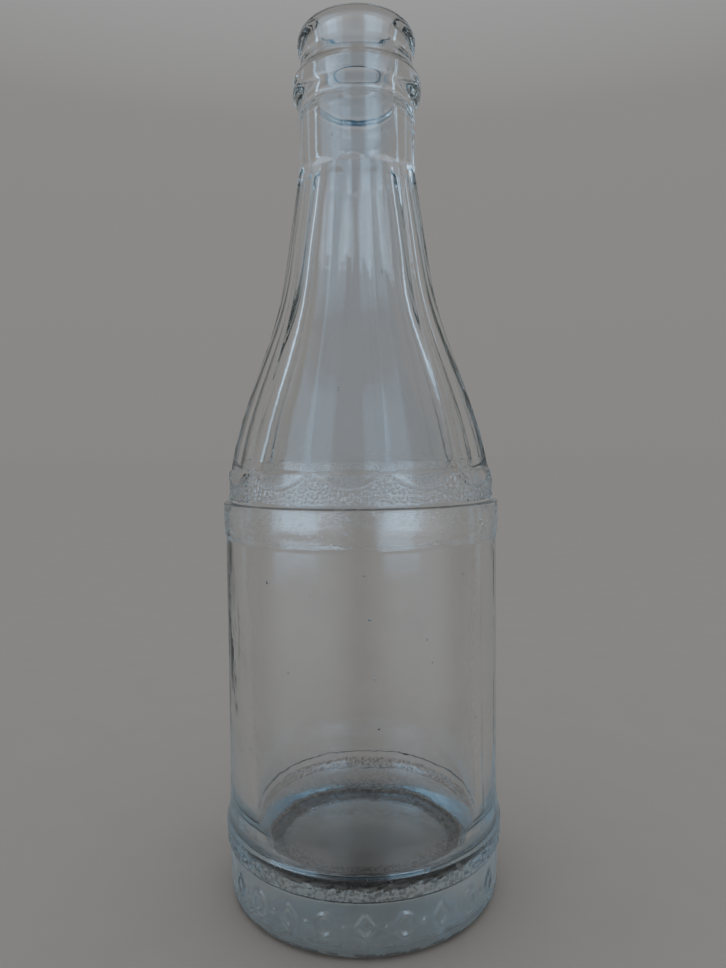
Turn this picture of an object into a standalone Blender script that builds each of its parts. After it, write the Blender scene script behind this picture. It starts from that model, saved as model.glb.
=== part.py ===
"""A moulded glass soda bottle with a crown finish, as one turned and fluted body of glass.

Metres, +Z up. The origin is the centre of the bearing ring that the bottle stands on.
The front is -Y. The whole bottle is one piece of glass: one blow of one mould.
"""

from math import cos, floor, pi, radians, sin

import bmesh
import bpy
from mathutils import Vector

MM = 0.001

# Turned outline, in millimetres: radii from the axis, heights from the bearing ring.
HEIGHT = 193.5
BODY_R = 30.75
STEPS_AROUND = 72

# Base
BEARING_IN_R = 22.4
FOOT_ROUND = 2.4
PUSH_UP = 1.9

# Heel: a plain low band, then a raised contact ring with a short bevel on top, which meets the
# next bottle in a crate.
HEEL_R = 30.8
HEEL_BAND_TOP_R, HEEL_BAND_TOP_Z = 31.2, 12.0
HEEL_RING_R = 31.75
HEEL_RING_LOW_Z, HEEL_RING_HIGH_Z = 12.9, 17.2
HEEL_EDGE_R, HEEL_EDGE_Z = 31.42, 17.7
HEEL_SLOPE_R, HEEL_SLOPE_Z = 31.08, 19.7
HEEL_RING_END_Z = 22.4

# Upper contact ring, and the stippled band that is set back above it.
RING_R = 31.15
RING_END_Z, RING_LOW_Z, RING_HIGH_Z = 80.5, 84.4, 88.0
LEDGE_Z = 88.7
BAND_LOW_R, BAND_R = 30.1, 29.6
BAND_TOP_Z, BREAK_Z = 95.2, 96.0

# Shoulder: a straight taper up to the neck, with a half-cosine swell on its lower part.
SHOULDER_TOP_Z = 163.5
NECK_R = 13.0
TAPER = 0.153
SWELL, SWELL_END_Z = 6.0, 139.0

# Flutes: scoops side by side, with a sharp ridge between each two.
FLUTES = 12
RIDGE_DEG = 10.0
FLUTE_LOW_Z, FLUTE_HIGH_Z = 92.9, 162.4
FLUTE_DEPTH_LOW, FLUTE_DEPTH_HIGH = 0.95, 0.6
FLUTE_LOW_END, FLUTE_HIGH_END = 5.0, 1.6

# Crown finish: collar, lower bead, plain neck, locking lip, sealing land and bore.
COLLAR_TOP_Z = 176.2
BEAD_Z, BEAD_REACH, BEAD_ROOT_R, BEAD_R = 180.2, 4.7, 12.75, 14.4
LIP_ROOT_R, LIP_R, LIP_LOW_Z = 12.6, 13.25, 187.0
LIP_ROUND, LIP_TALL = 2.65, 3.4
LAND_IN_R = 9.4
BORE_R = 8.5

# Cavity
WALL = 4.4
CAVITY_R = BODY_R - WALL
FLOOR_Z, FLOOR_CROWN, FLOOR_ROUND = 11.0, 0.8, 7.0


def arc(centre_r, centre_z, radius, start_deg, end_deg, steps, height=None):
    """Points of an arc in the outline's plane, from start to end, 0 degrees pointing outwards.

    With a height of its own it is part of an ellipse."""
    turns = [radians(start_deg + (end_deg - start_deg) * i / steps) for i in range(steps + 1)]
    height = radius if height is None else height
    return [(centre_r + radius * cos(a), centre_z + height * sin(a)) for a in turns]


def spread(low, high, steps):
    """Evenly spaced values from low to high, both included."""
    return [low + (high - low) * i / steps for i in range(steps + 1)]


def shoulder_r(z):
    """Radius of the ridges between the flutes at this height."""
    share = min(max((z - BAND_TOP_Z) / (SWELL_END_Z - BAND_TOP_Z), 0), 1)
    swell = SWELL * (1 + cos(pi * share)) / 2
    return NECK_R + TAPER * (SHOULDER_TOP_Z - z) + swell


def cavity_r(z):
    """Radius of the hollow at this height: the body's bore, then the shoulder less the wall."""
    return max(min(CAVITY_R, shoulder_r(z) - WALL), BORE_R)


def base_and_heel():
    push_up = [(r, PUSH_UP * (1 - (r / BEARING_IN_R) ** 2)) for r in spread(0, BEARING_IN_R, 5)]
    foot = arc(HEEL_R - FOOT_ROUND, FOOT_ROUND, FOOT_ROUND, -90, 0, 4)
    return push_up + foot + [
        (HEEL_BAND_TOP_R, HEEL_BAND_TOP_Z),
        (HEEL_RING_R - 0.1, HEEL_RING_LOW_Z),
        (HEEL_RING_R, (HEEL_RING_LOW_Z + HEEL_RING_HIGH_Z) / 2),
        (HEEL_RING_R - 0.03, HEEL_RING_HIGH_Z),
        (HEEL_EDGE_R, HEEL_EDGE_Z),
        (HEEL_SLOPE_R, HEEL_SLOPE_Z),
        (BODY_R, HEEL_RING_END_Z),
    ]


def rings_and_band():
    return [
        (BODY_R, RING_END_Z),
        (RING_R, RING_LOW_Z),
        (RING_R, RING_HIGH_Z),
        (RING_R - 0.25, LEDGE_Z),
        (BAND_LOW_R, LEDGE_Z + 0.1),
        (BAND_R + 0.15, LEDGE_Z + 1.0),
    ] + [(BAND_R, z) for z in spread(FLUTE_LOW_Z, BREAK_Z - 0.5, 3)]


def shoulder():
    lower_end = spread(BREAK_Z, FLUTE_LOW_Z + FLUTE_LOW_END, 2)
    upper_end = spread(FLUTE_HIGH_Z - FLUTE_HIGH_END, FLUTE_HIGH_Z, 2)
    between = spread(lower_end[-1], upper_end[0], 13)[1:-1]
    return [(shoulder_r(z), z) for z in lower_end + between + upper_end]


def bead_r(share):
    """Radius of the round bead, from its lower root (-1) past its crown (0) to its upper root (1)."""
    return BEAD_ROOT_R + (BEAD_R - BEAD_ROOT_R) * sin(pi / 2 * cos(pi / 2 * share) ** 2)


def crown_finish():
    shares = (-0.85, -0.65, -0.45, -0.22, 0, 0.22, 0.45, 0.65, 0.85)
    bead = [(bead_r(share), BEAD_Z + BEAD_REACH * share) for share in shares]
    lip = arc(LIP_R - LIP_ROUND, HEIGHT - LIP_TALL, LIP_ROUND, -20, 90, 6, LIP_TALL)
    mouth = arc(LAND_IN_R, HEIGHT - (LAND_IN_R - BORE_R), LAND_IN_R - BORE_R, 90, 180, 3)
    return (
        [(NECK_R, SHOULDER_TOP_Z), (NECK_R, COLLAR_TOP_Z)]
        + bead
        + [(LIP_ROOT_R, LIP_LOW_Z)]
        + lip
        + mouth
    )


def cavity():
    tapered = [(cavity_r(z), z) for z in reversed(spread(BAND_TOP_Z - 6, SHOULDER_TOP_Z, 13))]
    heel = arc(CAVITY_R - FLOOR_ROUND, FLOOR_Z + FLOOR_ROUND, FLOOR_ROUND, 0, -90, 5)
    floor_r = CAVITY_R - FLOOR_ROUND
    floor = [(r, FLOOR_Z + FLOOR_CROWN * (1 - (r / floor_r) ** 2)) for r in (12, 6, 0)]
    return tapered + heel + floor


def turned(outline, start_deg):
    """A closed mesh turned about Z from an outline whose two ends lie on the axis."""
    mesh = bmesh.new()
    turn = radians(start_deg)
    points = [mesh.verts.new((r * cos(turn) * MM, r * sin(turn) * MM, z * MM)) for r, z in outline]
    edges = [mesh.edges.new(pair) for pair in zip(points, points[1:])]
    bmesh.ops.spin(
        mesh, geom=points + edges, cent=(0, 0, 0), axis=(0, 0, 1), angle=2 * pi,
        steps=STEPS_AROUND, use_merge=True,
    )
    bmesh.ops.remove_doubles(mesh, verts=mesh.verts, dist=1e-7)
    bmesh.ops.recalc_face_normals(mesh, faces=mesh.faces)
    return mesh


def flute_depth(z, angle):
    """How far a flute is scooped below its ridges, at this height and angle, running out in round ends."""
    share = (angle - radians(RIDGE_DEG)) / (2 * pi / FLUTES)
    across = 2 * (share - floor(share)) - 1
    along = (z - FLUTE_LOW_Z) / (FLUTE_HIGH_Z - FLUTE_LOW_Z)
    full = FLUTE_DEPTH_LOW + (FLUTE_DEPTH_HIGH - FLUTE_DEPTH_LOW) * along
    from_low, from_high = (z - FLUTE_LOW_Z) / FLUTE_LOW_END, (FLUTE_HIGH_Z - z) / FLUTE_HIGH_END
    lost = 1 - min(max(min(from_low, from_high), 0), 1)
    return full * max(1 - across**2 - lost, 0)


def cut_flutes(mesh):
    """Moves the shoulder's outer points inwards, square to the axis, by the flutes' depth."""
    for point in mesh.verts:
        radius = point.co.xy.length / MM
        z = point.co.z / MM
        if not FLUTE_LOW_Z < z < FLUTE_HIGH_Z or radius < cavity_r(z) + WALL / 2:
            continue
        angle = Vector((1, 0)).angle_signed(point.co.xy) * -1
        point.co.xy *= 1 - flute_depth(z, angle) / radius


def glass():
    material = bpy.data.materials.new("clear_glass")
    material.use_nodes = True
    shader = material.node_tree.nodes["Principled BSDF"]
    shader.inputs["Base Color"].default_value = (0.86, 0.94, 0.93, 1)
    shader.inputs["Roughness"].default_value = 0.03
    shader.inputs["Metallic"].default_value = 0
    shader.inputs["IOR"].default_value = 1.52
    shader.inputs["Transmission Weight"].default_value = 1
    return material


def make_bottle():
    outline = base_and_heel() + rings_and_band() + shoulder() + crown_finish() + cavity()
    mesh = turned(outline, RIDGE_DEG)
    cut_flutes(mesh)
    data = bpy.data.meshes.new("glass_bottle")
    mesh.to_mesh(data)
    mesh.free()
    data.shade_smooth()
    data.set_sharp_from_angle(angle=radians(35))
    data.materials.append(glass())
    bottle = bpy.data.objects.new("glass_bottle", data)
    bpy.context.scene.collection.objects.link(bottle)
    return bottle


def main():
    for old in list(bpy.data.objects):
        bpy.data.objects.remove(old, do_unlink=True)
    make_bottle()


main()
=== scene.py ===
"""Looks for the glass soda bottle: one detailed body of moulded glass on a pale studio floor."""

from math import cos, pi, radians, sin

import bpy
import numpy as np
from mathutils import Matrix, Vector


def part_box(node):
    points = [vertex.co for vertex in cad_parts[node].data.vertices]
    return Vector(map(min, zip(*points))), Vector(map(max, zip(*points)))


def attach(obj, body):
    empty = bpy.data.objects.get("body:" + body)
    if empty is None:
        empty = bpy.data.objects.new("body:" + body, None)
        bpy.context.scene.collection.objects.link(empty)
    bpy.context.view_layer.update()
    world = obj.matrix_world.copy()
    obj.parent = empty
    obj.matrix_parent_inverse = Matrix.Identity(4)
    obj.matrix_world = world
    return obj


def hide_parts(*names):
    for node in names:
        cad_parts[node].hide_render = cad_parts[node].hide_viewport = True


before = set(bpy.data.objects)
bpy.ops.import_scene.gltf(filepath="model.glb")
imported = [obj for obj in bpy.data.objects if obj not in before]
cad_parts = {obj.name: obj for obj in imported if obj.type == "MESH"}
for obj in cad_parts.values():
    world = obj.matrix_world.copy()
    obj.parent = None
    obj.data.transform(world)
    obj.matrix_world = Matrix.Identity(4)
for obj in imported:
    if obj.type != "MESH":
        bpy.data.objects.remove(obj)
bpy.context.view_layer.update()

MM = 0.001
NODE = "glass_bottle"

# The bottle's own sizes, in millimetres, as in the CAD. Names in R are distances from the axis, and
# names in Z are heights from the foot. The whole height comes from the frame.
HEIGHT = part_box(NODE)[1].z / MM
BODY_R = 30.75
# The base, the heel's band, the rubbed ring above it, and the slope from that down to the body.
BEARING_IN_R, FOOT_ROUND, PUSH_UP = 22.4, 2.4, 1.9
HEEL_R = 30.8
HEEL_BAND_TOP_R, HEEL_BAND_TOP_Z = 31.2, 12.0
HEEL_RING_R, HEEL_RING_LOW_Z, HEEL_RING_WIDE_Z = 31.7, 12.9, 15.4
HEEL_RING_HIGH_Z, HEEL_RING_END_Z = 17.2, 22.4
HEEL_EDGE_R, HEEL_EDGE_Z, HEEL_SLOPE_R, HEEL_SLOPE_Z = 31.38, 17.7, 31.08, 19.7
# The ring at the top of the body, the ledge above it, and the stippled band up to the shoulder's break.
RING_R, RING_END_Z, RING_LOW_Z = 31.15, 80.5, 84.4
LEDGE_Z = 88.7
BAND_LOW_R, BAND_R, BAND_TOP_Z, BREAK_Z = 30.1, 29.6, 95.2, 96.0
# The shoulder widens evenly from the neck down, and swells further out below SWELL_END_Z.
SHOULDER_TOP_Z, NECK_R, TAPER, SWELL, SWELL_END_Z = 163.5, 13.0, 0.153, 6.0, 139.0
# The flutes: how many, one ridge's angle, their ends' heights, how deep, and how long the ends run out.
FLUTES, RIDGE_DEG = 12, 10.0
FLUTE_LOW_Z, FLUTE_HIGH_Z = 92.9, 162.4
FLUTE_DEPTH_LOW, FLUTE_DEPTH_HIGH = 0.95, 0.6
FLUTE_LOW_END, FLUTE_HIGH_END = 5.0, 1.6
ARCH_LOW_Z, ARCH_RISE = FLUTE_LOW_Z, 3.2
# The collar, the bead, the lip and the mouth.
COLLAR_TOP_Z = 176.2
BEAD_Z, BEAD_REACH, BEAD_ROOT_R, BEAD_R = 180.2, 4.7, 12.75, 14.4
LIP_ROOT_R, LIP_ROOT_LOW_Z, LIP_ROOT_HIGH_Z = 12.6, 186.2, 187.0
LIP_R, LIP_ROUND, LIP_TALL, LIP_LOW_DEG = 13.25, 2.65, 3.4, -20
LAND_IN_R, BORE_R = 9.4, 8.5
MOUTH_ROUND = LAND_IN_R - BORE_R
# The hollow.
WALL = 4.4
CAVITY_R = BODY_R - WALL
FLOOR_Z, FLOOR_CROWN, FLOOR_ROUND = 11.0, 0.8, 7.0

# The two mould seams: their angles, height and half width in radians. Then the mould rings' height.
SEAM_DEG, SEAM_HEIGHT, SEAM_HALF_TURN = (-20.0, 160.0), 0.07, 0.0075
MOULD_RING_HEIGHT = 0.004

# Points around each ring of the mesh. Under the base and inside, rings within HALVED_R have half.
PLAIN, MARKED, FLUTED, STIPPLED, NARROW = 240, 480, 480, 960, 240
HALVED_R = 8
# How strongly the points of the flutes' rings draw together at the ridges, from 0 to 1.
CLUSTER = 0.6

rng = np.random.default_rng(22)


# ---------------------------------------------------------------- outline

def arc(centre_r, centre_z, radius, start_deg, end_deg, steps, tall=1.0):
    """Points of an arc in the outline's plane, from start to end, 0 degrees pointing outwards.

    A tall above 1 stretches it upwards into part of an ellipse."""
    turns = np.radians(np.linspace(start_deg, end_deg, steps + 1))
    return np.stack([centre_r + radius * np.cos(turns), centre_z + tall * radius * np.sin(turns)], 1)


def shoulder_r(z):
    """Radius of the ridges between the flutes at this height."""
    share = np.clip((z - BAND_TOP_Z) / (SWELL_END_Z - BAND_TOP_Z), 0, 1)
    swell = SWELL * (1 + np.cos(pi * share)) / 2
    return np.maximum(NECK_R + TAPER * (SHOULDER_TOP_Z - z) + swell, NECK_R)


def cavity_r(z):
    """Radius of the hollow at this height."""
    return np.maximum(np.minimum(CAVITY_R, shoulder_r(z) - WALL), BORE_R)


def rounded(points, radii, spacing=None, steps=6):
    """A path through these points with each inner corner rounded by an arc-like curve of its radius.

    With a spacing, its straight runs also get points about this far apart."""
    path = [np.array(points[0], float)]
    for before, corner, after, radius in zip(points, points[1:], points[2:], radii):
        before, corner, after = (np.array(p, float) for p in (before, corner, after))
        reach = min(radius, np.linalg.norm(before - corner) * 0.48, np.linalg.norm(after - corner) * 0.48)
        start = corner + (before - corner) / np.linalg.norm(before - corner) * reach
        end = corner + (after - corner) / np.linalg.norm(after - corner) * reach
        for t in np.linspace(0, 1, steps + 1):
            path.append((1 - t) ** 2 * start + 2 * t * (1 - t) * corner + t**2 * end)
    path.append(np.array(points[-1], float))
    if spacing is None:
        return np.array(path)
    full = [path[0]]
    for before, after in zip(path, path[1:]):
        parts = max(1, round(np.linalg.norm(after - before) / spacing))
        full += [before + (after - before) * (i + 1) / parts for i in range(parts)]
    return np.array(full)


def resampled(path, spacing):
    """The same path with points about this far apart."""
    path = np.asarray(path, float)
    path = path[np.r_[True, np.linalg.norm(np.diff(path, axis=0), axis=1) > 1e-6]]
    along = np.r_[0, np.cumsum(np.linalg.norm(np.diff(path, axis=0), axis=1))]
    wanted = np.linspace(0, along[-1], max(2, round(along[-1] / spacing) + 1))
    return np.stack([np.interp(wanted, along, path[:, i]) for i in (0, 1)], 1)


def straight(low, high, steps):
    return np.linspace(low, high, steps + 1)


def base_outline():
    """The pushed-up underside, the bearing ring and the foot's round edge."""
    under_r = BEARING_IN_R * np.linspace(0, 1, 24)
    under = np.stack([under_r, PUSH_UP * (1 - (under_r / BEARING_IN_R) ** 2)], 1)
    foot = arc(HEEL_R - FOOT_ROUND, FOOT_ROUND, FOOT_ROUND, -90, 0, 10)
    bearing = resampled([under[-1], foot[0]], 0.5)
    return under, bearing, foot


def heel_outline(start):
    """The heel's band and the raised ring above it, up to the body."""
    band = resampled([start, (HEEL_BAND_TOP_R - 0.12, HEEL_BAND_TOP_Z)], 0.36)
    ring = rounded(
        [
            band[-1],
            (HEEL_BAND_TOP_R - 0.02, HEEL_BAND_TOP_Z + 0.35),
            (HEEL_RING_R - 0.12, HEEL_BAND_TOP_Z + 0.75),
            (HEEL_RING_R, HEEL_RING_WIDE_Z),
            (HEEL_RING_R - 0.03, HEEL_RING_HIGH_Z),
            (HEEL_EDGE_R, HEEL_EDGE_Z),
            (HEEL_SLOPE_R, HEEL_SLOPE_Z),
            (BODY_R, HEEL_RING_END_Z),
            (BODY_R, HEEL_RING_END_Z + 1.5),
        ],
        [0.15, 0.25, 1.2, 0.4, 0.5, 1.2, 1.4],
        0.26,
    )
    return band, ring


def ring_outline(start):
    """The raised ring at the top of the body and the ledge above it."""
    return rounded(
        [
            start,
            (BODY_R, RING_END_Z + 0.3),
            (RING_R - 0.1, RING_END_Z + 1.6),
            (RING_R, RING_LOW_Z),
            (RING_R, LEDGE_Z - 0.05),
            (BAND_LOW_R, LEDGE_Z + 0.1),
            (BAND_R + 0.15, LEDGE_Z + 1.0),
        ],
        [0.7, 0.7, 1.4, 0.3, 0.25],
        0.3,
    )


def flutes_outline():
    """The fluted shoulder and neck, with closer rings at the flutes' round ends."""
    low_end = straight(BREAK_Z, BREAK_Z + 2.0, 8)[1:]
    middle = straight(BREAK_Z + 2.0, FLUTE_HIGH_Z - 3.2, 38)[1:]
    high_end = straight(FLUTE_HIGH_Z - 3.2, FLUTE_HIGH_Z + 0.4, 20)[1:]
    flute_z = np.concatenate([low_end, middle, high_end])
    return np.stack([shoulder_r(flute_z), flute_z], 1)


def finish_outline(start):
    """The collar, the bead, the lip and the round edge of the mouth."""
    across = np.linspace(-1, 1, 41)
    bead_r = BEAD_ROOT_R + (BEAD_R - BEAD_ROOT_R) * np.sin(pi / 2 * np.cos(pi / 2 * across) ** 2)
    bead = np.stack([bead_r, BEAD_Z + BEAD_REACH * across], 1)
    collar = rounded(
        [
            start,
            (NECK_R, COLLAR_TOP_Z - 2.6),
            (NECK_R + 0.05, COLLAR_TOP_Z - 1.4),
            bead[0],
            bead[1],
        ],
        [0.8, 0.5, 0.1],
    )
    lip = arc(LIP_R - LIP_ROUND, HEIGHT - LIP_TALL, LIP_ROUND, LIP_LOW_DEG, 90, 30, LIP_TALL / LIP_ROUND)
    lip_root = rounded(
        [bead[-1], (LIP_ROOT_R, LIP_ROOT_LOW_Z), (LIP_ROOT_R, LIP_ROOT_HIGH_Z), lip[0]],
        [0.6, 0.6],
    )
    mouth = arc(LAND_IN_R, HEIGHT - MOUTH_ROUND, MOUTH_ROUND, 90, 180, 6)
    return np.concatenate([collar[1:-1], bead[1:], lip_root[1:-1], lip, mouth])


def inside_outline():
    """The bore, the hollow's shoulder and wall, its round heel and its floor, going down."""
    bore_z = straight(HEIGHT - MOUTH_ROUND, SHOULDER_TOP_Z, 12)[1:]
    bore = np.stack([cavity_r(bore_z), bore_z], 1)
    shoulder_z = straight(SHOULDER_TOP_Z, BAND_TOP_Z - 8, 44)[1:]
    shoulder = np.stack([cavity_r(shoulder_z), shoulder_z], 1)
    heel_top = FLOOR_Z + FLOOR_ROUND
    body = resampled([shoulder[-1], (CAVITY_R, heel_top)], 5.0)[1:-1]
    floor_edge = CAVITY_R - FLOOR_ROUND
    heel = arc(floor_edge, heel_top, FLOOR_ROUND, 0, -90, 12)
    floor_r = np.linspace(floor_edge, 0, 10)[1:]
    floor = np.stack([floor_r, FLOOR_Z + FLOOR_CROWN * (1 - (floor_r / floor_edge) ** 2)], 1)
    return np.concatenate([bore, shoulder, body, heel, floor])


def outline():
    """The turned outline as stretches of (points, points around, zone).

    It runs from under the base, up the outside, over the lip and down the inside to the floor."""
    under, bearing, foot = base_outline()
    heel_band, heel_ring = heel_outline(foot[-1])
    body = resampled([heel_ring[-1], (BODY_R, RING_END_Z - 1)], 2.4)
    ring = ring_outline(body[-1])
    band = resampled([ring[-1], (BAND_R, BREAK_Z - 0.5), (shoulder_r(BREAK_Z), BREAK_Z)], 0.2)
    flutes = flutes_outline()
    return [
        (under[:-1], PLAIN, "under"),
        (bearing[:-1], MARKED, "bearing"),
        (foot[:-1], MARKED, "foot"),
        (heel_band, MARKED, "heel_band"),
        (heel_ring[1:], MARKED, "heel_ring"),
        (body[1:], PLAIN, "body"),
        (ring[1:-1], MARKED, "ring"),
        (band, STIPPLED, "band"),
        (flutes, FLUTED, "flutes"),
        (finish_outline(flutes[-1]), NARROW, "finish"),
        (inside_outline(), NARROW, "inside"),
    ]


# ---------------------------------------------------------------- relief

def waves(angle, z, terms):
    """A slow unevenness: a sum of waves round and along the bottle, each (size, turns, per mm, phase)."""
    return sum(size * np.cos(turns * angle + per_mm * z + phase) for size, turns, per_mm, phase in terms)


OUTER_WAVES = ((0.016, 2, 0.02, 0.4), (0.010, 5, 0.07, 1.9), (0.006, 9, -0.11, 0.7), (0.004, 17, 0.24, 2.6))
INNER_WAVES = (
    (0.22, 1, 0.010, 0.8), (0.14, 2, 0.031, 2.1), (0.07, 3, -0.052, 0.3), (0.05, 5, 0.083, 1.2),
    (0.022, 8, -0.150, 2.9), (0.012, 13, 0.230, 0.6),
)


# How softly the flutes bend over at the ridges, and how softly they run out, in millimetres.
RIDGE_SOFT, END_SOFT = 0.16, 0.22


def flute_place(angle):
    """Where this angle lies across its flute: -1 and 1 on the ridges, 0 in the middle."""
    share = (angle - radians(RIDGE_DEG)) / (2 * pi / FLUTES)
    return 2 * (share - np.floor(share)) - 1


def flute_depth(angle, z):
    """How far a flute is scooped below its ridges: a nearly flat face that runs out in round ends."""
    along = (z - FLUTE_LOW_Z) / (FLUTE_HIGH_Z - FLUTE_LOW_Z)
    full = FLUTE_DEPTH_LOW + (FLUTE_DEPTH_HIGH - FLUTE_DEPTH_LOW) * along
    half_width = pi / FLUTES * shoulder_r(z)
    soft = RIDGE_SOFT / half_width
    from_ridge = 1 - np.abs(flute_place(angle))
    from_ridge = np.sqrt(from_ridge**2 + soft**2) - soft
    hollow = full * (1 - (1 - from_ridge) ** 2)
    low = 1 - np.clip((z - FLUTE_LOW_Z) / FLUTE_LOW_END, 0, 1)
    high = 1 - np.clip((FLUTE_HIGH_Z - z) / FLUTE_HIGH_END, 0, 1)
    scoop = hollow - full * np.maximum(low, high)
    return np.maximum(0.5 * (scoop + np.sqrt(scoop**2 + END_SOFT**2)) - 0.5 * END_SOFT, 0)


def arch_z(angle):
    """Height of the stipple's upper edge: lowest in the middle of each flute, highest at the ridges."""
    return ARCH_LOW_Z + ARCH_RISE * flute_place(angle) ** 2


class Stipple:
    """Rows of small round bumps of uneven size and place, round the axis."""

    def __init__(self, rows, low, pitch, around, height, unevenness):
        self.low, self.pitch, self.around = low, pitch, around
        shape = (rows + 2, around)
        self.shift_row = rng.uniform(-1, 1, shape) * unevenness
        self.shift_turn = rng.uniform(-1, 1, shape) * unevenness
        self.height = height * rng.uniform(0.5, 1.0, shape)
        self.size = pitch * rng.uniform(0.44, 0.62, shape)
        self.rows = rows

    def at(self, angle, place, radius):
        """The bumps' height at this angle and this place across the rows."""
        row = (place - self.low) / self.pitch
        turn = np.mod(angle / (2 * pi) * self.around, self.around)
        found = np.zeros_like(angle)
        spacing = 2 * pi * radius / self.around
        for row_step in (-1, 0, 1):
            r = int(np.floor(row)) + row_step
            if not 0 <= r < self.rows:
                continue
            for turn_step in (-1, 0, 1):
                cell = np.floor(turn).astype(int) + turn_step
                c = np.mod(cell, self.around)
                across = (turn - cell - 0.5 - 0.5 * (r % 2) - self.shift_turn[r, c]) * spacing
                up = (row - r - 0.5 - self.shift_row[r, c]) * self.pitch
                near = np.clip(1 - (across**2 + up**2) / self.size[r, c] ** 2, 0, 1)
                found = np.maximum(found, self.height[r, c] * near**1.5)
        return found


BAND_STIPPLE = Stipple(rows=9, low=LEDGE_Z + 0.3, pitch=0.84, around=216, height=0.27, unevenness=0.34)
BASE_STIPPLE = Stipple(rows=10, low=22.0, pitch=0.95, around=168, height=0.26, unevenness=0.25)

# The neat row along the stipple's upper edge: bumps in a flute's width, their half size and height.
EDGE_BUMPS, EDGE_SIZE, EDGE_HEIGHT = 18, 0.42, 0.28
# How far the edge row and the uneven bumps keep below the arch, and how softly the bumps end there.
EDGE_GAP, FIELD_GAP, FIELD_SOFT = 0.1, 0.75, 0.25


def band_stipple(angle, z, radius):
    """Stipple below the flutes' round ends, with a neat row of bolder bumps along its upper edge."""
    top = arch_z(angle) - EDGE_GAP
    field = BAND_STIPPLE.at(angle, z, radius) * np.clip((top - FIELD_GAP - z) / FIELD_SOFT, 0, 1)
    count = EDGE_BUMPS * FLUTES
    turn = angle / (2 * pi) * count
    across = (turn - np.floor(turn) - 0.5) * 2 * pi * radius / count
    near = np.clip(1 - (across**2 + (z - top + EDGE_SIZE) ** 2) / EDGE_SIZE**2, 0, 1)
    return np.maximum(field, EDGE_HEIGHT * near**1.3)


# The heel's marks: their spacing, middle height, and how many stand on each side of the front one.
MARK_PITCH_DEG, MARK_Z, MARK_COUNT = 7.4, 7.1, 8
# A lozenge's half width and height, a ring's half height and its width as a share of that.
MARK_HALF_WIDTH, MARK_HALF_HEIGHT, MARK_RING_HALF, MARK_RING_WIDTH = 1.8, 2.5, 2.2, 0.72
MARK_STROKE, MARK_HEIGHT = 0.55, 0.32


def heel_marks(angle, z):
    """Plain raised rings, lozenge outlines and pips on the front of the heel."""
    turn = np.degrees(angle) + 90
    turn = (turn + 180) % 360 - 180
    number = np.round(turn / MARK_PITCH_DEG)
    across = (turn - number * MARK_PITCH_DEG) * radians(1) * HEEL_R
    up = z - MARK_Z
    lozenge = np.abs(np.abs(across) / MARK_HALF_WIDTH + np.abs(up) / MARK_HALF_HEIGHT - 1) * 1.6
    ring = np.abs(np.sqrt((across / MARK_RING_WIDTH) ** 2 + up**2) - MARK_RING_HALF) * 0.8
    pip = np.sqrt(across**2 + up**2) * 0.9
    kind = np.mod(number, 4)
    away = np.where(kind == 0, lozenge, np.where(kind == 2, ring, pip))
    raised = np.clip(1 - (away / MARK_STROKE) ** 2, 0, 1)
    return MARK_HEIGHT * raised * (np.abs(number) <= MARK_COUNT)


class Chips:
    """Small shell-shaped flakes knocked out of a band that rubs against other bottles."""

    def __init__(self, count, low, high, least, most, depth):
        self.turn = rng.uniform(-pi, pi, count)
        self.z = rng.uniform(low, high, count)
        self.size = least + (most - least) * rng.uniform(0, 1, count) ** 2
        self.tall = rng.uniform(0.5, 1.0, count)
        self.lean = rng.uniform(-0.8, 0.8, count)
        self.depth = depth * rng.uniform(0.4, 1.0, count)

    def at(self, angle, z, radius):
        """How far the chips cut in at these angles and this height."""
        found = np.zeros_like(angle)
        for turn, height, size, tall, lean, depth in zip(
            self.turn, self.z, self.size, self.tall, self.lean, self.depth
        ):
            if abs(z - height) > size:
                continue
            across = ((angle - turn + pi) % (2 * pi) - pi) * radius / size
            up = (z - height) / (size * tall)
            near = np.clip(1 - across**2 - up**2, 0, 1)
            found = np.maximum(found, depth * near**0.6 * (1 + lean * across))
        return found


HEEL_CHIPS = Chips(count=330, low=HEEL_RING_LOW_Z, high=15.6, least=0.3, most=0.75, depth=0.16)
HEEL_EDGE_CHIPS = Chips(count=24, low=15.6, high=17.6, least=0.3, most=0.7, depth=0.14)
RING_CHIPS = Chips(count=90, low=81.5, high=88.3, least=0.3, most=0.75, depth=0.10)


def seams(angle):
    """The two mould seams, as a fine raised line each."""
    found = np.zeros_like(angle)
    for seam in SEAM_DEG:
        away = (angle - radians(seam) + pi) % (2 * pi) - pi
        found += np.exp(-((away / SEAM_HALF_TURN) ** 2))
    return found


def ring_angles(count, cluster):
    """Angles round a ring, drawn together towards the ridges by the share called cluster."""
    per_flute = count // FLUTES
    t = np.arange(per_flute) / per_flute * 2 - 1
    place = (1 - cluster) * t + cluster * np.sin(pi / 2 * t)
    turns = [(k + (place + 1) / 2) * 2 * pi / FLUTES for k in range(FLUTES)]
    return np.concatenate(turns) + radians(RIDGE_DEG)


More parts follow.
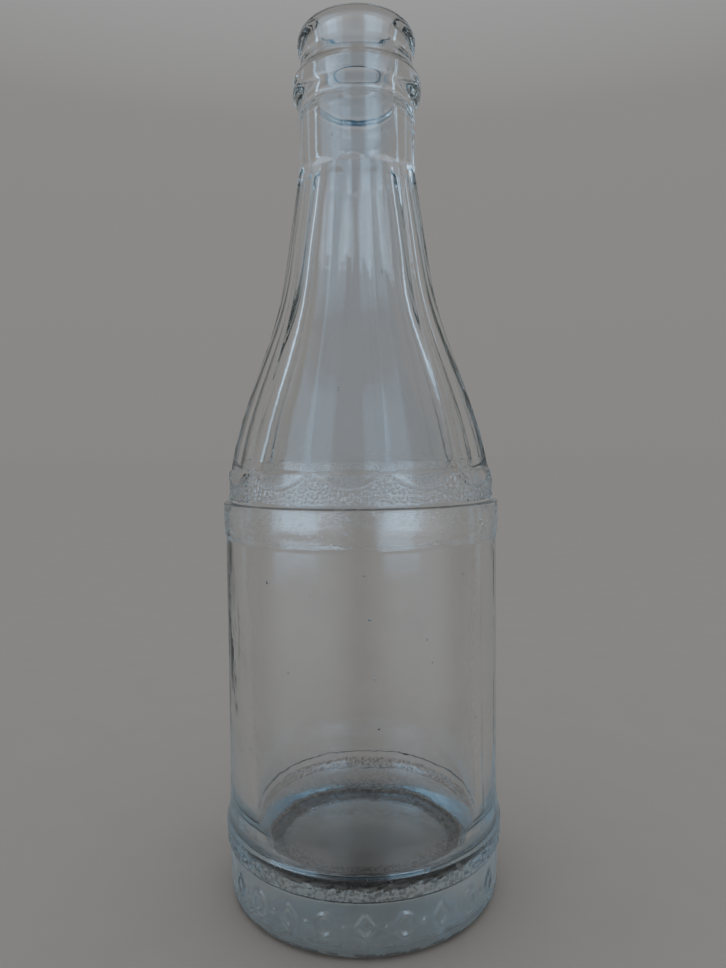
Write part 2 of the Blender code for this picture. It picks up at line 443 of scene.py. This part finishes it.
def ring_points(r, z, count, zone, cluster):
    """One ring of the mesh with its relief, in millimetres.

    The slow waves and the seams fade out towards the mouth, the foot and the axis."""
    angle = ring_angles(count, cluster)
    radius = np.full(count, r)
    height = np.full(count, z)
    if zone == "inside":
        fade = np.clip(1.6 * r / CAVITY_R, 0, 1) * np.clip((HEIGHT - 1 - z) / 8, 0, 1)
        radius += waves(angle, z, INNER_WAVES) * fade
    elif zone in ("under", "bearing"):
        height += BASE_STIPPLE.at(angle, r, r) if r > 1 else 0.0
    else:
        radius += waves(angle, z, OUTER_WAVES) * np.clip((HEIGHT - z) / 40, 0, 1) * min(z / 10, 1)
        radius += SEAM_HEIGHT * seams(angle) * np.clip((HEIGHT - 6 - z) / 2, 0, 1) * min(z / 3, 1)
    if zone == "finish":
        coarse = np.sin(5.3 * z + 0.4 * np.sin(2 * angle))
        fine = np.sin(8.9 * z + 1.0 + 0.3 * np.cos(3 * angle))
        fade = np.clip((z - COLLAR_TOP_Z) / 3, 0, 1) * np.clip((LIP_ROOT_HIGH_Z - z) / 2, 0, 1)
        radius += MOULD_RING_HEIGHT * (coarse + fine) * fade
    if zone == "foot":
        dents = BASE_STIPPLE.at(angle, HEEL_R - FOOT_ROUND + 1.3 * z, r)
        dents *= np.clip(2 * (FOOT_ROUND - z), 0, 1)
        radius -= 0.7 * dents
        height += dents * (1 - z / FOOT_ROUND)
    if zone == "heel_band":
        radius += heel_marks(angle, z)
    if zone == "heel_ring":
        radius -= np.maximum(HEEL_CHIPS.at(angle, z, r), HEEL_EDGE_CHIPS.at(angle, z, r))
    if zone == "ring":
        radius -= RING_CHIPS.at(angle, z, r)
    if zone in ("band", "flutes"):
        radius -= flute_depth(angle, z)
        if z < BREAK_Z + 0.6:
            radius += band_stipple(angle, z, r)
    return np.stack([radius * np.cos(angle), radius * np.sin(angle), height], 1)


# ---------------------------------------------------------------- mesh

def stitch(first, second):
    """Faces between two rings of indexes, going up the outline.

    One of them may have a whole multiple of the other's points."""
    a, b = len(first), len(second)
    if a == b:
        return [(first[i], first[(i + 1) % a], second[(i + 1) % a], second[i]) for i in range(a)]
    coarse, fine, turn = (first, second, False) if a < b else (second, first, True)
    ratio = len(fine) // len(coarse)
    faces = []
    for i in range(len(coarse)):
        here, after = coarse[i], coarse[(i + 1) % len(coarse)]
        run = [fine[(i * ratio + j) % len(fine)] for j in range(ratio + 1)]
        half = ratio // 2
        new = [(here, run[j + 1], run[j]) for j in range(half)]
        new.append((here, after, run[half]) if ratio % 2 == 0 else (here, after, run[half + 1], run[half]))
        new += [(after, run[j + 1], run[j]) for j in range(half + ratio % 2, ratio)]
        faces += [tuple(reversed(f)) for f in new] if turn else new
    return faces


# Angle round the axis, height, half width and stretch of the few bubbles in the wall.
BUBBLES = (
    (-130, 73.7, 0.30, 1.3), (-89, 76, 0.22, 1.2), (-87, 67.4, 0.34, 0.8), (-84, 46, 0.26, 1.2),
    (-120, 56, 0.16, 1.6), (-62, 58, 0.18, 1.4), (-25, 33, 0.24, 1.6), (14, 70, 0.22, 1.9),
    (48, 51, 0.30, 1.4), (83, 38, 0.22, 1.5), (122, 62, 0.26, 1.7), (168, 44, 0.24, 1.5),
    (-150, 36, 0.22, 1.4), (-38, 44, 0.20, 1.5), (-101, 112, 0.2, 2.2), (-72, 137, 0.16, 2.6),
    (95, 120, 0.2, 2.0), (-64, 168, 0.2, 2.0), (-60, 171.5, 0.15, 1.6), (-118, 167, 0.18, 2.4),
)


def bubble(centre, size, stretch):
    """A small hollow in the glass: a ball of points whose faces look inwards."""
    rows, around = 8, 12
    points, faces = [], []
    for i in range(1, rows):
        tip = pi * i / rows
        for j in range(around):
            turn = 2 * pi * j / around
            level = Vector((cos(turn), sin(turn), 0)) * size * sin(tip)
            points.append(centre + level + Vector((0, 0, size * stretch * cos(tip))))
    for i in range(rows - 2):
        for j in range(around):
            k = (j + 1) % around
            faces.append((i * around + j, i * around + k, (i + 1) * around + k, (i + 1) * around + j))
    top, bottom = len(points), len(points) + 1
    points += [centre + Vector((0, 0, size * stretch)), centre - Vector((0, 0, size * stretch))]
    faces += [(top, (j + 1) % around, j) for j in range(around)]
    last = (rows - 2) * around
    faces += [(bottom, last + j, last + (j + 1) % around) for j in range(around)]
    return points, faces


def mesh_object(name, points, faces, material):
    """A smooth-shaded mesh object of these points, in metres, and faces."""
    data = bpy.data.meshes.new(name)
    data.from_pydata([tuple(p) for p in points], [], faces)
    data.validate()
    data.shade_smooth()
    data.materials.append(material)
    made = bpy.data.objects.new(name, data)
    bpy.context.scene.collection.objects.link(made)
    return made


def cluster_for(z, zone):
    """Points draw together at the ridges, except where relief needs them even."""
    if zone != "flutes":
        return 0.0
    from_end = min(z - BREAK_Z, FLUTE_HIGH_Z + 0.4 - z) / 4
    return CLUSTER * min(max(from_end, 0), 1)


def make_glass(material):
    """The whole bottle as one mesh, closed from under the base to the floor of the hollow."""
    points, faces, rings = [], [], []
    for stretch, count, zone in outline():
        for r, z in stretch:
            if r < 1e-6:
                points.append((0, 0, z))
                rings.append([len(points) - 1])
                continue
            ring_count = NARROW // 2 if zone in ("under", "inside") and r < HALVED_R else count
            ring = ring_points(r, z, ring_count, zone, cluster_for(z, zone))
            rings.append(list(range(len(points), len(points) + ring_count)))
            points += [tuple(p) for p in ring]
    for first, second in zip(rings, rings[1:]):
        if len(first) == 1:
            around = len(second)
            faces += [(first[0], second[(i + 1) % around], second[i]) for i in range(around)]
        elif len(second) == 1:
            around = len(first)
            faces += [(first[i], first[(i + 1) % around], second[0]) for i in range(around)]
        else:
            faces += stitch(first, second)
    for turn_deg, z, size, stretch in BUBBLES:
        wall_r = (float(cavity_r(z)) + float(BODY_R if z < LEDGE_Z else shoulder_r(z) - 1.0)) / 2
        centre = Vector((wall_r * cos(radians(turn_deg)), wall_r * sin(radians(turn_deg)), z))
        more, more_faces = bubble(centre, size, stretch)
        faces += [tuple(i + len(points) for i in face) for face in more_faces]
        points += [tuple(p) for p in more]
    scaled = [(x * MM, y * MM, z * MM) for x, y, z in points]
    return mesh_object("bottle_of_glass", scaled, faces, material)


# ---------------------------------------------------------------- material

class Nodes:
    """Short ways to add nodes to one shader tree. Each returns the new node's output."""

    def __init__(self, tree):
        self.tree = tree

    def put(self, socket, value):
        """Links an output to this socket, or sets the socket's own number."""
        if isinstance(value, bpy.types.NodeSocket):
            self.tree.links.new(value, socket)
        else:
            socket.default_value = value

    def maths(self, operation, one, other=0.0, third=0.0):
        node = self.tree.nodes.new("ShaderNodeMath")
        node.operation = operation
        for socket, value in zip(node.inputs, (one, other, third)):
            self.put(socket, value)
        return node.outputs[0]

    def product(self, first, *others):
        for other in others:
            first = self.maths("MULTIPLY", first, other)
        return first

    def fade(self, value, start, end, at_start=0.0, at_end=1.0):
        """A smooth step from one number to another as the value goes from start to end."""
        node = self.tree.nodes.new("ShaderNodeMapRange")
        node.interpolation_type = "SMOOTHSTEP"
        numbers = (("From Min", start), ("From Max", end), ("To Min", at_start), ("To Max", at_end))
        for name, number in numbers:
            node.inputs[name].default_value = number
        self.put(node.inputs["Value"], value)
        return node.outputs["Result"]

    def within(self, value, low, high, soft):
        """1 between low and high, falling to 0 over the soft distance outside them."""
        rise = self.fade(value, low - soft, low)
        fall = self.fade(value, high, high + soft, 1.0, 0.0)
        return self.maths("MULTIPLY", rise, fall)

    def noise(self, place, scale, detail):
        node = self.tree.nodes.new("ShaderNodeTexNoise")
        node.inputs["Scale"].default_value = scale
        node.inputs["Detail"].default_value = detail
        self.put(node.inputs["Vector"], place)
        return node.outputs["Fac"]

    def mix(self, share, one, other):
        """One colour turning into the other as the share goes from 0 to 1."""
        node = self.tree.nodes.new("ShaderNodeMix")
        node.data_type = "RGBA"
        self.put(node.inputs["Factor"], share)
        node.inputs["A"].default_value = one
        node.inputs["B"].default_value = other
        return node.outputs["Result"]

    def parts(self, vector):
        node = self.tree.nodes.new("ShaderNodeSeparateXYZ")
        self.put(node.inputs[0], vector)
        return node.outputs


# Where the glass material's zones lie, in millimetres: heights from the foot and distances from the axis.
# A pair is where a zone fades in or out. Three numbers are its bottom, its top and its soft edge.
OUTSIDE_R = (28.5, 29.2)
HEEL_RUB_Z, RING_RUB_Z = (12.8, HEEL_RING_HIGH_Z, 0.5), (RING_END_Z + 0.8, LEDGE_Z - 0.2, 0.5)
HEEL_Z, UNDERSIDE_Z = (-1.0, HEEL_BAND_TOP_Z, 0.3), (2.4, 3.8)
INNER_FLOOR_Z, INNER_FLOOR_R = (9.5, 16.5, 2.0), (26.2, 26.8)
FILM_Z = (LEDGE_Z + 0.4, BREAK_Z - 1, 1.0)
# Thin lines of painted shade in the creases at the ledge and at the heel step.
LEDGE_SHADE_Z, HEEL_STEP_SHADE_Z = (LEDGE_Z - 0.02, LEDGE_Z + 0.16, 0.12), (12.2, 12.42, 0.12)
# Dark specks on the bearing ring: painted shade of the shadowed gap under the base, with some dirt.
BEARING_Z, BEARING_R = (1.2, 2.4), (21.0, 22.8)
# A darker speckled ring near the edge of the hollow's floor.
FLOOR_SPECKS_IN_R, FLOOR_SPECKS_OUT_R = (16.5, 20.5), (21.5, 24.5)
# The heel ring's lower band: real wear, darkened further by painted shade.
WORN_AND_SHADED_Z = (12.6, 15.2, 0.5)
# Each noise's scale and detail.
FINE_NOISE, BROAD_NOISE, SPECK_NOISE, BUMP_NOISE = (1500, 5), (70, 5), (520, 4), (230, 3)
# Roughness everywhere, then the most that the haze and each zone add to it.
PLAIN_ROUGH, HAZE_ROUGH, SCUFF_ROUGH = 0.01, 0.05, 0.34
HEEL_ROUGH, UNDER_ROUGH, INNER_ROUGH = 0.05, 0.36, 0.05
# Colours of the clean surface, of dirt and painted shade, and of light that has passed through much glass.
CLEAN_COLOR, GRIME_AND_SHADE_COLOR, DEPTH_COLOR = (1, 1, 1, 1), (0.18, 0.165, 0.15, 1), (0.62, 0.77, 0.775, 1)


def glass():
    """Pale aqua glass, faintly hazy, scuffed on its two rings and rough underneath.

    A thin rough film lies on the band and the rings. The base colour darkens with painted shade in
    thin lines in the creases at the ledge and the heel step, with painted shade and some dirt in specks
    on the bearing ring, with wear and painted shade on the heel ring's lower band, with a cloudy film
    and painted shade over the heel, with a faint random haze, and in a speckled ring near the edge of
    the hollow's floor."""
    material = bpy.data.materials.new("clear_pale_aqua_glass")
    material.use_nodes = True
    nodes = Nodes(material.node_tree)
    shader = material.node_tree.nodes["Principled BSDF"]
    output = material.node_tree.nodes["Material Output"]
    shader.inputs["IOR"].default_value = 1.52
    shader.inputs["Transmission Weight"].default_value = 1
    shader.inputs["Coat Roughness"].default_value = 0.42
    absorb = material.node_tree.nodes.new("ShaderNodeVolumeAbsorption")
    absorb.inputs["Color"].default_value = DEPTH_COLOR
    absorb.inputs["Density"].default_value = 8
    nodes.put(output.inputs["Volume"], absorb.outputs[0])

    place = material.node_tree.nodes.new("ShaderNodeTexCoord").outputs["Object"]
    x, y, z = nodes.parts(place)
    z = nodes.maths("DIVIDE", z, MM)
    radius = nodes.maths("SQRT", nodes.maths("ADD", nodes.product(x, x), nodes.product(y, y)))
    radius = nodes.maths("DIVIDE", radius, MM)
    outside = nodes.fade(radius, *OUTSIDE_R)
    fine = nodes.noise(place, *FINE_NOISE)
    broad = nodes.noise(place, *BROAD_NOISE)
    speck = nodes.noise(place, *SPECK_NOISE)

    def ring(low, high, soft):
        """A level band of the outer surface."""
        return nodes.product(nodes.within(z, low, high, soft), outside)

    rubbed = nodes.maths("MAXIMUM", ring(*HEEL_RUB_Z), ring(*RING_RUB_Z))
    scuffs = nodes.product(nodes.fade(fine, 0.56, 0.70), nodes.fade(broad, 0.42, 0.64, 0.15, 1.0), rubbed)
    heel = ring(*HEEL_Z)
    under = nodes.fade(z, *UNDERSIDE_Z, 1.0, 0.0)
    inner_floor = nodes.fade(radius, *INNER_FLOOR_R, 1.0, 0.0)
    inner_floor = nodes.product(nodes.within(z, *INNER_FLOOR_Z), inner_floor)

    haze = nodes.fade(broad, 0.42, 0.75, 0.0, HAZE_ROUGH)
    rough = nodes.maths("ADD", haze, PLAIN_ROUGH)
    zones = ((scuffs, SCUFF_ROUGH), (heel, HEEL_ROUGH), (under, UNDER_ROUGH), (inner_floor, INNER_ROUGH))
    for mask, amount in zones:
        rough = nodes.maths("ADD", rough, nodes.product(mask, amount))
    nodes.put(shader.inputs["Roughness"], rough)

    band_film = nodes.product(ring(*FILM_Z), 0.4)
    film = nodes.maths("MAXIMUM", nodes.product(rubbed, 0.2), band_film)
    film = nodes.maths("ADD", film, nodes.fade(broad, 0.45, 0.8, 0.0, 0.22))
    nodes.put(shader.inputs["Coat Weight"], film)

    # Painted shade: thin dark lines in the creases at the ledge and at the heel step, broken by noise.
    crevice_shade = nodes.maths("MAXIMUM", ring(*LEDGE_SHADE_Z), ring(*HEEL_STEP_SHADE_Z))
    crevice_shade = nodes.product(crevice_shade, nodes.fade(speck, 0.3, 0.5, 0.45, 0.9))
    # Dark specks on the bearing ring: painted shade of the shadowed gap under the base, with some dirt.
    bearing = nodes.product(nodes.fade(z, *BEARING_Z, 1.0, 0.0), nodes.fade(radius, *BEARING_R))
    bearing = nodes.product(bearing, nodes.fade(speck, 0.36, 0.56, 0.3, 0.95))
    # A darker speckled ring near the edge of the hollow's floor.
    floor_edge_specks = nodes.product(inner_floor, nodes.fade(radius, *FLOOR_SPECKS_IN_R))
    floor_edge_specks = nodes.product(floor_edge_specks, nodes.fade(radius, *FLOOR_SPECKS_OUT_R, 1.0, 0.4))
    floor_edge_specks = nodes.product(floor_edge_specks, nodes.fade(fine, 0.42, 0.58, 0.5, 1.0))
    # The heel ring's lower band: real wear, darkened further by painted shade.
    worn_and_shaded = nodes.product(ring(*WORN_AND_SHADED_Z), nodes.fade(fine, 0.44, 0.58, 0.15, 0.85))
    # A faint random haze over the glass, and a darker heel: partly a cloudy film, partly painted shade for
    # the shaded floor seen through it.
    haze_and_heel_shade = nodes.maths("ADD", nodes.fade(broad, 0.4, 0.75, 0.05, 0.11), nodes.product(heel, 0.14))
    # The base colour darkens by the largest of these masks: dirt, haze and painted shade together.
    grime_and_shade = crevice_shade
    for mask in (bearing, floor_edge_specks, worn_and_shaded, haze_and_heel_shade):
        grime_and_shade = nodes.maths("MAXIMUM", grime_and_shade, mask)
    nodes.put(shader.inputs["Base Color"], nodes.mix(grime_and_shade, CLEAN_COLOR, GRIME_AND_SHADE_COLOR))

    bump = material.node_tree.nodes.new("ShaderNodeBump")
    bump.inputs["Strength"].default_value = 0.08
    bump.inputs["Distance"].default_value = 0.0004
    relief = nodes.maths("ADD", nodes.noise(place, *BUMP_NOISE), nodes.product(scuffs, 2.0))
    nodes.put(bump.inputs["Height"], relief)
    nodes.put(shader.inputs["Normal"], bump.outputs[0])
    return material


FLOOR_COLORS = (0.495, 0.474, 0.447, 1), (0.505, 0.484, 0.457, 1)


def floor_material():
    """Plain, matt and pale, with a faint grain."""
    material = bpy.data.materials.new("pale_floor")
    material.use_nodes = True
    nodes = Nodes(material.node_tree)
    shader = material.node_tree.nodes["Principled BSDF"]
    place = material.node_tree.nodes.new("ShaderNodeTexCoord").outputs["Object"]
    grain = nodes.fade(nodes.noise(place, 60, 4), 0.3, 0.7)
    nodes.put(shader.inputs["Base Color"], nodes.mix(grain, *FLOOR_COLORS))
    shader.inputs["Roughness"].default_value = 0.8
    shader.inputs["Specular IOR Level"].default_value = 0
    return material


# ---------------------------------------------------------------- camera and studio

# The picture is upright, so the sensor's long side is the picture's height.
SENSOR_MM, FOCAL_IN_HEIGHTS = 36, 0.751
# The camera's distance from the axis and its height, in metres, and how it is turned.
CAMERA_BACK, CAMERA_UP = 0.16787, 0.10038
PITCH_DEG, ROLL_DEG, YAW_DEG = 2.80, -0.56, 0.185


def make_camera():
    """A close wide-angle camera at the bottle's mid height, tipped a little down and a little rolled."""
    data = bpy.data.cameras.new("camera")
    data.sensor_width = SENSOR_MM
    data.lens = SENSOR_MM * FOCAL_IN_HEIGHTS
    data.clip_start = 0.01
    camera = bpy.data.objects.new("camera", data)
    bpy.context.scene.collection.objects.link(camera)
    yaw, pitch, roll = radians(YAW_DEG), radians(PITCH_DEG), radians(ROLL_DEG)
    right = Vector((cos(yaw), -sin(yaw), 0))
    level = Vector((sin(yaw), cos(yaw), 0))
    forward = level * cos(pitch) - Vector((0, 0, sin(pitch)))
    up = level * sin(pitch) + Vector((0, 0, cos(pitch)))
    rolled_right = right * cos(roll) + up * sin(roll)
    rolled_up = up * cos(roll) - right * sin(roll)
    turned = Matrix((rolled_right, rolled_up, -forward)).transposed().to_4x4()
    camera.matrix_world = Matrix.Translation((0, -CAMERA_BACK, CAMERA_UP)) @ turned
    bpy.context.scene.camera = camera


# The floor's radius in metres, the points round it, and how far it lies below the foot.
FLOOR_RADIUS, FLOOR_POINTS, FLOOR_DROP = 6.0, 96, 0.0001


def make_floor():
    """A wide plain floor. Mirror reflections leave it out, so that the windows reach down the glass."""
    turns = [2 * pi * i / FLOOR_POINTS for i in range(FLOOR_POINTS)]
    points = [(0, 0, 0)] + [(FLOOR_RADIUS * cos(turn), FLOOR_RADIUS * sin(turn), 0) for turn in turns]
    faces = [(0, i + 1, (i + 1) % FLOOR_POINTS + 1) for i in range(FLOOR_POINTS)]
    floor = mesh_object("floor", points, faces, floor_material())
    floor.location.z = -FLOOR_DROP
    floor.visible_glossy = False


# Place from straight down (0) to straight up (1), and the room's colour there.
ROOM = (
    (0.0, (0.15, 0.16, 0.165, 1)),
    (0.42, (0.195, 0.2, 0.2, 1)),
    (0.495, (0.255, 0.248, 0.24, 1)),
    (0.70, (0.27, 0.263, 0.257, 1)),
    (1.0, (0.76, 0.78, 0.81, 1)),
)
# Middle azimuth, half width and soft edge in degrees, 0 being the camera's side.
WINDOW_LEFT, WINDOW_RIGHT = (-55, 20, 8), (33, 15, 8)
GLOW_LEFT, GLOW_RIGHT = (-46, 30, 34), (44, 28, 34)
SIDE_LEFT, SIDE_RIGHT = (-112, 3, 6), (112, 3, 6)
FRONT, SKY = (0, 78, 40), (0, 72, 40)
# Elevations in degrees where each one fades in from below, and fades out above.
WINDOW_RISE, WINDOW_FALL = (-11, -6), (38, 46)
GLOW_RISE, GLOW_FALL = (-34, -8), (0, 18)
SIDE_RISE, SIDE_FALL = (-14, -4), (30, 33)
SKY_RISE, SKY_FALL = (2, 24), (42, 62)
# Elevations between which the light changes, and the share left on the dimmer side of them:
# above them for the windows and the room, below them for the side panes.
WINDOW_DIM, OVERHEAD_DIM, SIDE_DIM = (3, 20, 0.4), (25, 60, 0.3), (21, 26, 0.4)
# How much of the room's light is taken away behind the camera.
FRONT_SHADE = 0.78
WINDOW_COLOR, GLOW_COLOR, SKY_COLOR = (0.38, 0.68, 1.0, 1), (0.85, 0.90, 1.0, 1), (0.10, 0.52, 1.0, 1)
WINDOW_STRENGTH, GLOW_STRENGTH, SIDE_STRENGTH, SKY_STRENGTH = 4.4, 1.5, 1.3, 0.58


def make_world():
    """A plain warm grey room, dimmer behind the camera, with cool windows on both sides of it.

    Only reflections and refractions show the windows, the sky and the dimming. The camera, the
    floor and any light that has bounced off a matt surface see the plain room.
    """
    world = bpy.data.worlds.new("studio")
    bpy.context.scene.world = world
    world.cycles.sampling_method = "NONE"
    world.use_nodes = True
    nodes = Nodes(world.node_tree)
    x, y, z = nodes.parts(world.node_tree.nodes.new("ShaderNodeTexCoord").outputs["Generated"])
    azimuth = nodes.maths("ARCTAN2", x, nodes.maths("MULTIPLY", y, -1.0))

    def beside(middle, half, soft):
        away = nodes.maths("ABSOLUTE", nodes.maths("SUBTRACT", azimuth, radians(middle)))
        return nodes.fade(away, radians(half - soft / 2), radians(half + soft / 2), 1.0, 0.0)

    def rising(start, end, least=0.0):
        return nodes.fade(z, sin(radians(start)), sin(radians(end)), least, 1.0)

    def falling(start, end, least=0.0):
        return nodes.fade(z, sin(radians(start)), sin(radians(end)), 1.0, least)

    def background(color, strength):
        shader = world.node_tree.nodes.new("ShaderNodeBackground")
        nodes.put(shader.inputs["Color"], color)
        nodes.put(shader.inputs["Strength"], strength)
        return shader.outputs[0]

    def joined(kind, first, second):
        shader = world.node_tree.nodes.new(kind)
        sockets = [socket for socket in shader.inputs if socket.type == "SHADER"]
        nodes.put(sockets[0], first)
        nodes.put(sockets[1], second)
        return shader

    ramp = world.node_tree.nodes.new("ShaderNodeValToRGB")
    stops = ramp.color_ramp
    stops.elements[0].position, stops.elements[0].color = ROOM[0]
    stops.elements[1].position, stops.elements[1].color = ROOM[-1]
    for position, color in ROOM[1:-1]:
        stops.elements.new(position).color = color
    nodes.put(ramp.inputs["Fac"], nodes.maths("MULTIPLY_ADD", z, 0.5, 0.5))
    shade = nodes.maths("SUBTRACT", 1.0, nodes.product(beside(*FRONT), FRONT_SHADE))
    shade = nodes.product(shade, falling(*OVERHEAD_DIM))
    plain_room = background(ramp.outputs["Color"], 1.0)
    dim_room = background(ramp.outputs["Color"], shade)

    panes = nodes.maths("MAXIMUM", beside(*WINDOW_LEFT), beside(*WINDOW_RIGHT))
    panes = nodes.product(panes, rising(*WINDOW_RISE), falling(*WINDOW_FALL), falling(*WINDOW_DIM))
    panes = nodes.product(panes, WINDOW_STRENGTH)
    glow = nodes.maths("MAXIMUM", beside(*GLOW_LEFT), beside(*GLOW_RIGHT))
    glow = nodes.product(glow, rising(*GLOW_RISE), falling(*GLOW_FALL), GLOW_STRENGTH)
    sides = nodes.maths("MAXIMUM", beside(*SIDE_LEFT), beside(*SIDE_RIGHT))
    sides = nodes.product(sides, rising(*SIDE_RISE), falling(*SIDE_FALL), rising(*SIDE_DIM))
    sides = nodes.product(sides, SIDE_STRENGTH)
    sky = nodes.product(beside(*SKY), rising(*SKY_RISE), falling(*SKY_FALL), SKY_STRENGTH)

    lights = ((WINDOW_COLOR, nodes.maths("ADD", panes, sides)), (GLOW_COLOR, glow), (SKY_COLOR, sky))
    lit = dim_room
    for color, strength in lights:
        lit = joined("ShaderNodeAddShader", lit, background(color, strength)).outputs[0]
    seen = joined("ShaderNodeMixShader", lit, plain_room)
    ray = world.node_tree.nodes.new("ShaderNodeLightPath").outputs
    nodes.put(seen.inputs["Fac"], nodes.maths("MAXIMUM", ray["Is Camera Ray"], ray["Diffuse Depth"]))
    nodes.put(world.node_tree.nodes["World Output"].inputs["Surface"], seen.outputs[0])


# Light has to pass many layers of glass.
cycles = bpy.context.scene.cycles
cycles.max_bounces = 24
cycles.glossy_bounces = 16
cycles.transmission_bounces = 24

make_camera()
make_world()
make_floor()

bottle = make_glass(glass())
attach(bottle, "root")
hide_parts(NODE)
